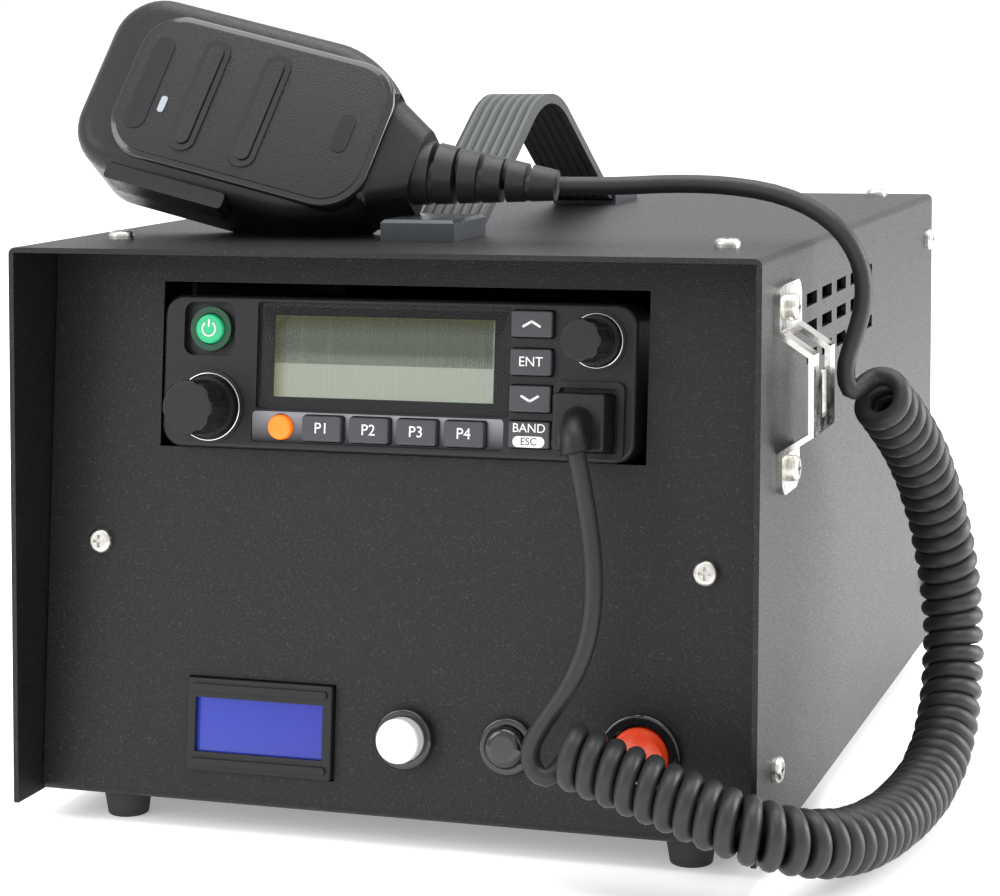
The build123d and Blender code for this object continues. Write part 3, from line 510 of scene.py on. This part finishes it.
chrome = Finish("chrome_ring", (0.8, 0.8, 0.8), 0.12, 1.0)
chrome.feed("Roughness", chrome.spread(chrome.noise(300), 0, 1, 0.08, 0.18))
for name, u, v, radius in (("volume", -54.9, 112.3, 9.4), ("channel", 58.0, 133.6, 7.3)):
    band = bmesh.new()
    hoop(band, radius * MM, 0.22 * MM, 0, 2 * pi, on_panel(u, v, 4.45))
    new_piece(f"ring_{name}", band, chrome, "case")
power_u, power_v = -55.3, 134.2
mark = bmesh.new()
hoop(mark, 2.0 * MM, 0.28 * MM, radians(125), radians(290), on_panel(power_u, power_v, 4.62))
new_piece("power_mark", mark, white_ink, "power")
stroke = bmesh.new()
upright_place = on_panel(power_u, power_v + 1.6, 4.6) @ Matrix.Rotation(pi / 2, 4, "Z")
stadium(stroke, 2.2 * MM, 0.28 * MM, 0, 0.2 * MM, upright_place)
new_piece("power_stroke", stroke, white_ink, "power")


# Meter and switches: the meter's backlit blue screen, two push buttons in glossy screw-in housings,
# one white and one black, and a red rocker with a white line on it.
screen = Finish("meter_screen", (0.01, 0.015, 0.2), 0.12, emission_strength=0.35)
meter_low, meter_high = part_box("meter_glass")
glow = screen.spread(screen.axes()[0], meter_low[0], meter_high[0])
screen.feed("Emission Color", screen.between(glow, (0.03, 0.08, 0.65), (0.01, 0.02, 0.45)))
screen.dress("meter_glass")
gloss = Finish("gloss_black", (0.008, 0.008, 0.009), 0.1, coat_weight=0.4)
gloss.feed("Roughness", gloss.spread(gloss.noise(120), 0, 1, 0.07, 0.16))
gloss.dress("white_housing", "black_housing", "black_button", "rocker_housing")
ivory = Finish("white_plastic", (0.8, 0.8, 0.77), 0.22)
ivory.feed("Roughness", ivory.spread(ivory.noise(200), 0, 1, 0.18, 0.28))
ivory.dress("white_button")
red = Finish("rocker_red", (0.75, 0.05, 0.015), 0.18, coat_weight=0.3)
red.feed("Base Color", red.between(red.noise(150), (0.7, 0.04, 0.01), (0.82, 0.075, 0.02)))
red.dress("rocker")
line = bmesh.new()
rocker_tilt = radians(9)
tip_place = on_panel(72.2, 22.7, 0) @ Matrix.Rotation(rocker_tilt, 4, "X")
tip_place @= Matrix.Translation((0, -4.5 * MM, 4.3 * MM)) @ Matrix.Rotation(-rocker_tilt, 4, "X")
stadium(line, 3.4 * MM, 0.4 * MM, 0, 0.1 * MM, tip_place @ Matrix.Rotation(pi / 2, 4, "Z"))
new_piece("rocker_line", line, white_ink, "rocker_arm")


# Handset: a satin black shell with a grained face plate in a glossy rim. The plate carries two long
# bars in raised lips, two blank labels and a lamp, and a ringed rubber sleeve guards the cord.
slope, lean = radians(13.9), radians(27.7)
along_a = Vector((cos(slope), 0, -sin(slope)))
along_b = Vector((sin(slope) * cos(lean), sin(lean), cos(slope) * cos(lean)))
along_c = along_a.cross(along_b)
handset_turn = Matrix((along_a, along_b, along_c)).transposed().to_4x4()
handset_place = (-0.0697, -0.0878, 0.2078)
handset = Matrix.Translation(handset_place) @ handset_turn
grained = Finish("grained_black", (0.012, 0.012, 0.013), 0.45, specular_ior_level=0.35)
pebble = grained.noise(2200, 2)
grained.relief(grained.spread(pebble, 0.35, 0.65), 0.0001)
grained.feed("Roughness", grained.spread(pebble, 0.3, 0.7, 0.36, 0.52))
lens = Finish("lamp_lens", (0.35, 0.38, 0.42), 0.12)
lens.feed("Roughness", lens.spread(lens.noise(300), 0, 1, 0.08, 0.16))
lens.dress("mic_led")
board = Finish("circuit_board", (0.03, 0.16, 0.07), 0.4)
board.feed("Roughness", board.spread(board.noise(300), 0, 1, 0.3, 0.5))
board.dress("mic_board")


rounding = {"affect": "EDGES", "profile": 0.5, "material": -1}


def on_handset(a, b, c):
    return handset @ Matrix.Translation((a * MM, b * MM, c * MM))


def rounded_slab(shape, a, b, c, corner, rim, place):
    """A slab between pairs of limits, its four corners and its outer rim rounded."""
    verts = bmesh.ops.create_cube(shape, size=MM)["verts"]
    bmesh.ops.scale(shape, verts=verts, vec=(a[1] - a[0], b[1] - b[0], c[1] - c[0]))
    bmesh.ops.translate(shape, verts=verts, vec=Vector((sum(a), sum(b), sum(c))) * MM / 2)
    corners = [e for e in shape.edges if abs((e.verts[0].co - e.verts[1].co).normalized().z) > 0.9]
    bmesh.ops.bevel(shape, geom=corners, offset=corner * MM, segments=10, **rounding)
    edges = [e for e in shape.edges if min(v.co.z for v in e.verts) > c[1] * MM - 1e-6]
    bmesh.ops.bevel(shape, geom=edges, offset=rim * MM, segments=3, **rounding)
    bmesh.ops.transform(shape, matrix=place, verts=shape.verts[:])


def rim_edges(shape, facing):
    """The edges round the face that looks out of the front or the back, but not at the neck."""
    shape.normal_update()
    found = []
    for edge in shape.edges:
        flat = [face.normal.z * facing > 0.7 for face in edge.link_faces]
        at_neck = min(v.co.x for v in edge.verts) > 67.9 * MM
        if len(flat) == 2 and flat[0] != flat[1] and not at_neck:
            found.append(edge)
    return found


body = bmesh.new()
verts = bmesh.ops.create_cube(body, size=MM)["verts"]
bmesh.ops.scale(body, verts=verts, vec=(84, 56.6, 30))
bmesh.ops.translate(body, verts=verts, vec=Vector((6, -0.2, -18)) * MM)
body.faces.ensure_lookup_table()
end_face = max(body.faces, key=lambda face: face.calc_center_median().x)
for reach, half, low, high in ((57.0, 17.0, -27.0, -4.0), (68.0, 11.0, -25.0, -5.0)):
    grown = bmesh.ops.extrude_face_region(body, geom=[end_face])["geom"]
    bmesh.ops.delete(body, geom=[end_face], context="FACES_ONLY")
    end_face = [item for item in grown if isinstance(item, bmesh.types.BMFace)][0]
    for vertex in end_face.verts:
        above_middle = vertex.co.z > -16 * MM
        side = 1 if vertex.co.y > -1 * MM else -1
        vertex.co = Vector((reach, side * half - 1.0, high if above_middle else low)) * MM
upright_edges = []
for edge in body.edges:
    way = (edge.verts[0].co - edge.verts[1].co).normalized()
    if abs(way.z) > 0.9 and edge.verts[0].co.x < 60 * MM:
        upright_edges.append(edge)
wide_corners = [edge for edge in upright_edges if edge.verts[0].co.x < 50 * MM]
waist = [edge for edge in upright_edges if edge.verts[0].co.x > 50 * MM]
bmesh.ops.bevel(body, geom=wide_corners, offset=15 * MM, segments=10, **rounding)
waist = [edge for edge in waist if edge.is_valid]
bmesh.ops.bevel(body, geom=waist, offset=7 * MM, segments=6, **rounding)
for facing, width in ((1, 6.0), (-1, 10.0)):
    found = rim_edges(body, facing)
    bmesh.ops.bevel(body, geom=found, offset=width * MM, segments=6, clamp_overlap=True, **rounding)
bmesh.ops.transform(body, matrix=handset, verts=body.verts[:])
shell_piece = new_piece("handset_shell", body, satin, "handset")
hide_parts("mic_front", "mic_rear")
rim = bmesh.new()
rounded_slab(rim, (-24.6, 57.0), (-24.2, 22.4), (-7, -1.9), 13, 1.0, handset)
new_piece("handset_rim", rim, gloss, "handset")
face_plate = bmesh.new()
rounded_slab(face_plate, (-22.6, 55.0), (-22.2, 20.4), (-6, -1.5), 11.4, 0.35, handset)
new_piece("handset_plate", face_plate, grained, "handset")
plate = -1.5
for number, a in enumerate((0.0, 19.4), 1):
    lip = bmesh.new()
    stand = on_handset(a, -1.0, plate) @ Matrix.Rotation(pi / 2, 4, "Z")
    stadium(lip, 36.2 * MM, 4.2 * MM, 0, 0.5 * MM, stand)
    new_piece(f"groove_lip_{number}", lip, gloss, "handset")
    bar = bmesh.new()
    stadium(bar, 32.0 * MM, 2.3 * MM, 0, 1.2 * MM, stand)
    new_piece(f"groove_bar_{number}", bar, grained, "handset")
for name, a, length, half in (("label_side", -16.3, 30, 3.2), ("label_end", 46.0, 12, 2.4)):
    tag = bmesh.new()
    stand = on_handset(a, -1, plate) @ Matrix.Rotation(pi / 2, 4, "Z")
    stadium(tag, length * MM, half * MM, 0, 0.25 * MM, stand)
    new_piece(name, tag, satin, "handset")
relief_start = Vector((66.0, -1.5, -15.0)) * MM
relief_stop = Vector((107.0, 5.3, -15.0)) * MM
relief_way = relief_stop - relief_start
relief_wide, relief_narrow = 9.8, 4.4
upright_turn = relief_way.to_track_quat("Z", "Y").to_matrix().to_4x4()
sleeve = bmesh.new()
rings = 6
for index in range(rings):
    low = index / rings
    high = (index + 0.76) / rings if index < rings - 1 else 1.0
    wide_low = (relief_wide + (relief_narrow - relief_wide) * low) * MM
    wide_high = (relief_wide + (relief_narrow - relief_wide) * high) * MM
    middle = relief_start + relief_way * (low + high) / 2
    place = handset @ Matrix.Translation(middle) @ upright_turn
    long = relief_way.length * (high - low)
    bmesh.ops.create_cone(
        sleeve, cap_ends=True, segments=36, radius1=wide_low, radius2=wide_high, depth=long, matrix=place
    )
    if index < rings - 1:
        side = 1 if index % 2 else -1
        web = Vector((0, side * wide_high * 0.3, 0))
        middle = relief_start + relief_way * (high + (index + 1) / rings) / 2 + web
        bmesh.ops.create_cone(
            sleeve,
            cap_ends=True,
            segments=24,
            radius1=wide_high * 0.68,
            radius2=wide_high * 0.66,
            depth=relief_way.length * 0.3 / rings,
            matrix=handset @ Matrix.Translation(middle) @ upright_turn,
        )
sleeve_piece = new_piece("cord_sleeve", sleeve, rubber, "handset")
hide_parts("mic_relief")
